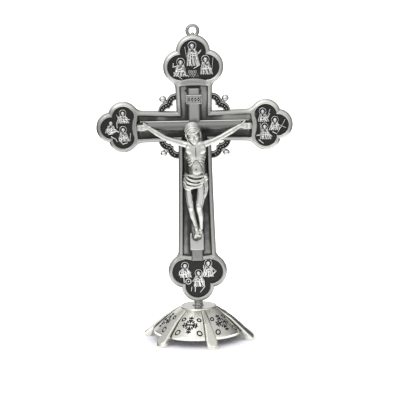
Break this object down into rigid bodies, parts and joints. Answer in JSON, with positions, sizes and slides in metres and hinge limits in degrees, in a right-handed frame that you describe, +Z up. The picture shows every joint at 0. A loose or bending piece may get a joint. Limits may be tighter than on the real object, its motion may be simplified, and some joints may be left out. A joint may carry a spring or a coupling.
{
  "type": "standing altar cross",
  "caption": "Small standing crucifix: cast cross with trefoil ends and medallions, a scalloped nimbus, and a ribbed domed base that it screws into.",
  "frame": {"origin": "point on the floor under the axis of the stud", "axes": "+Z up, the figure faces -Y, +X on the viewer's right"},
  "size_m": [0.1006, 0.0576, 0.1651],
  "materials": {
    "cast_silver": "satin antique silver plating with dark recesses",
    "bright_silver": "bright satin silver plating",
    "polished_silver": "polished silver plating",
    "dark_patina": "blackened ground with rubbed bright relief",
    "base_silver": "semi-polished antique silver plating",
    "plated_steel": "zinc-plated screw thread"
  },
  "bodies": {
    "base": {"base_shell": "base_silver", "threaded_bush": "plated_steel"},
    "cross": {"threaded_stud": "plated_steel", "cross_frame": "cast_silver", "upright_beam": "bright_silver", "cross_beam": "bright_silver", "title_plaque": "bright_silver", "foot_block": "bright_silver", "corpus": "bright_silver", "nimbus_ring": "cast_silver", "ring_beads": "polished_silver", "ring_balls": "polished_silver", "hanging_eye": "polished_silver", "top_medallion": "dark_patina", "left_medallion": "dark_patina", "bottom_medallion": "dark_patina", "right_medallion": "dark_patina", "left_hand_nail": "polished_silver", "right_hand_nail": "polished_silver", "feet_nail": "polished_silver"}
  },
  "joints": [
    {"name": "cross_turn", "type": "hinge", "parent": "base", "child": "cross", "pos_m": [0, 0, 0.0129], "axis": [0, 0, 1], "continuous": true}
  ]
}
